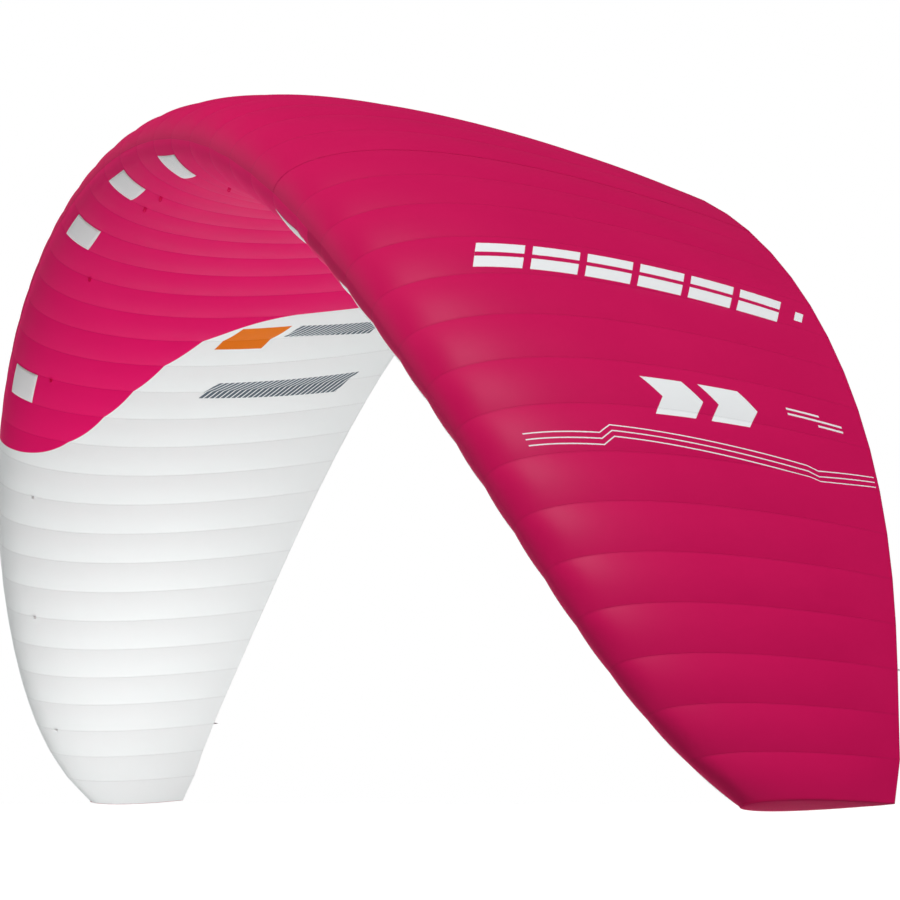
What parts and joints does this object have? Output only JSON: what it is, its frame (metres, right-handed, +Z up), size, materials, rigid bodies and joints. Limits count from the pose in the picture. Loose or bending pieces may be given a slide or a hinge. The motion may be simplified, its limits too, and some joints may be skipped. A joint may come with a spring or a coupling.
{
  "type": "kitesurf kite",
  "caption": "Closed-cell foil kite canopy with ribs, meshed air intakes, valve flaps, folding brake corners and a deflation zip.",
  "frame": {"origin": "where the bridle pulls: on the lower skin at the first tab row, in the middle of the span", "axes": "+Z up, span along X, leading edge towards -Y; the left half, as the pilot sees it, is on +X"},
  "size_m": [5.3692, 1.5739, 2.1856],
  "materials": {
    "upper_cloth": "satin coated ripstop cloth, crimson",
    "lower_cloth_pink": "satin coated ripstop cloth, pink",
    "lower_cloth_white": "satin coated ripstop cloth, white",
    "rib_cloth": "hard-finished ripstop cloth",
    "intake_mesh": "open mesh",
    "valve_cloth": "soft coated cloth",
    "webbing": "woven webbing, white",
    "webbing_pink": "woven webbing, pink",
    "zip_tape": "coil zip on woven tape",
    "slider_metal": "satin"
  },
  "bodies": {
    "canopy": {"upper_skin_middle": "upper_cloth", "lower_skin_middle": "lower_cloth_pink", "upper_skin_left": "upper_cloth", "lower_skin_left": "lower_cloth_white", "rib_01_left": "rib_cloth", "bridle_tab_01_left": "webbing_pink", "rib_05_left": "rib_cloth", "bridle_tab_05_left": "webbing_pink", "rib_09_left": "rib_cloth", "bridle_tab_09_left": "webbing_pink", "rib_13_left": "rib_cloth", "bridle_tab_13_left": "webbing", "rib_17_left": "rib_cloth", "bridle_tab_17_left": "webbing", "rib_21_left": "rib_cloth", "bridle_tab_21_left": "webbing", "tip_panel_left": "upper_cloth", "upper_skin_right": "upper_cloth", "lower_skin_right": "lower_cloth_white", "rib_01_right": "rib_cloth", "bridle_tab_01_right": "webbing_pink", "rib_05_right": "rib_cloth", "bridle_tab_05_right": "webbing_pink", "rib_09_right": "rib_cloth", "bridle_tab_09_right": "webbing_pink", "rib_13_right": "rib_cloth", "bridle_tab_13_right": "webbing", "rib_17_right": "rib_cloth", "bridle_tab_17_right": "webbing", "rib_21_right": "rib_cloth", "bridle_tab_21_right": "webbing", "tip_panel_right": "upper_cloth", "span_strap_front": "webbing", "span_strap_rear": "webbing", "intake_mesh_09_right": "intake_mesh", "intake_mesh_03_right": "intake_mesh", "intake_mesh_middle": "intake_mesh", "intake_mesh_03_left": "intake_mesh", "intake_mesh_09_left": "intake_mesh", "deflate_zip": "zip_tape"},
    "brake_corner_left": {"brake_corner_upper_left": "upper_cloth", "brake_corner_lower_left": "lower_cloth_white", "rib_tail_21_left": "rib_cloth", "tip_panel_tail_left": "upper_cloth", "brake_tab_left": "webbing"},
    "brake_corner_right": {"brake_corner_upper_right": "upper_cloth", "brake_corner_lower_right": "lower_cloth_white", "rib_tail_21_right": "rib_cloth", "tip_panel_tail_right": "upper_cloth", "brake_tab_right": "webbing"},
    "valve_09_right": {"valve_flap_09_right": "valve_cloth"},
    "valve_03_right": {"valve_flap_03_right": "valve_cloth"},
    "valve_middle": {"valve_flap_middle": "valve_cloth"},
    "valve_03_left": {"valve_flap_03_left": "valve_cloth"},
    "valve_09_left": {"valve_flap_09_left": "valve_cloth"},
    "zip_slider": {"zip_slider": "slider_metal"}
  },
  "joints": [
    {"name": "brake_fold_left", "type": "hinge", "parent": "canopy", "child": "brake_corner_left", "pos_m": [2.38198, 1.00971, -1.41943], "axis": [-0.3905, 0.3931, 0.8325], "range_deg": [0, 25], "stiffness_Nm_per_rad": 12, "springref_deg": -5.73},
    {"name": "brake_fold_right", "type": "hinge", "parent": "canopy", "child": "brake_corner_right", "pos_m": [-2.38198, 1.00971, -1.41943], "axis": [-0.3905, -0.3931, -0.8325], "range_deg": [0, 25], "stiffness_Nm_per_rad": 12, "springref_deg": -5.73},
    {"name": "valve_open_09_right", "type": "hinge", "parent": "canopy", "child": "valve_09_right", "pos_m": [-1.43928, -0.07442, -0.34873], "axis": [0.8332, -0.0949, 0.5447], "range_deg": [0, 50]},
    {"name": "valve_open_03_right", "type": "hinge", "parent": "canopy", "child": "valve_03_right", "pos_m": [-0.51379, -0.12113, 0.0326], "axis": [0.9799, -0.0114, 0.199], "range_deg": [0, 50]},
    {"name": "valve_open_middle", "type": "hinge", "parent": "canopy", "child": "valve_middle", "pos_m": [0, -0.1233, 0.08425], "axis": [1, 0, 0], "range_deg": [0, 50]},
    {"name": "valve_open_03_left", "type": "hinge", "parent": "canopy", "child": "valve_03_left", "pos_m": [0.51379, -0.12113, 0.0326], "axis": [0.9799, 0.0114, -0.199], "range_deg": [0, 50]},
    {"name": "valve_open_09_left", "type": "hinge", "parent": "canopy", "child": "valve_09_left", "pos_m": [1.43928, -0.07442, -0.34873], "axis": [0.8332, 0.0949, -0.5447], "range_deg": [0, 50]},
    {"name": "zip_open", "type": "hinge", "parent": "canopy", "child": "zip_slider", "pos_m": [0, 1.39674, -2.48149], "axis": [0, -1, 0], "range_deg": [0, 11]}
  ]
}
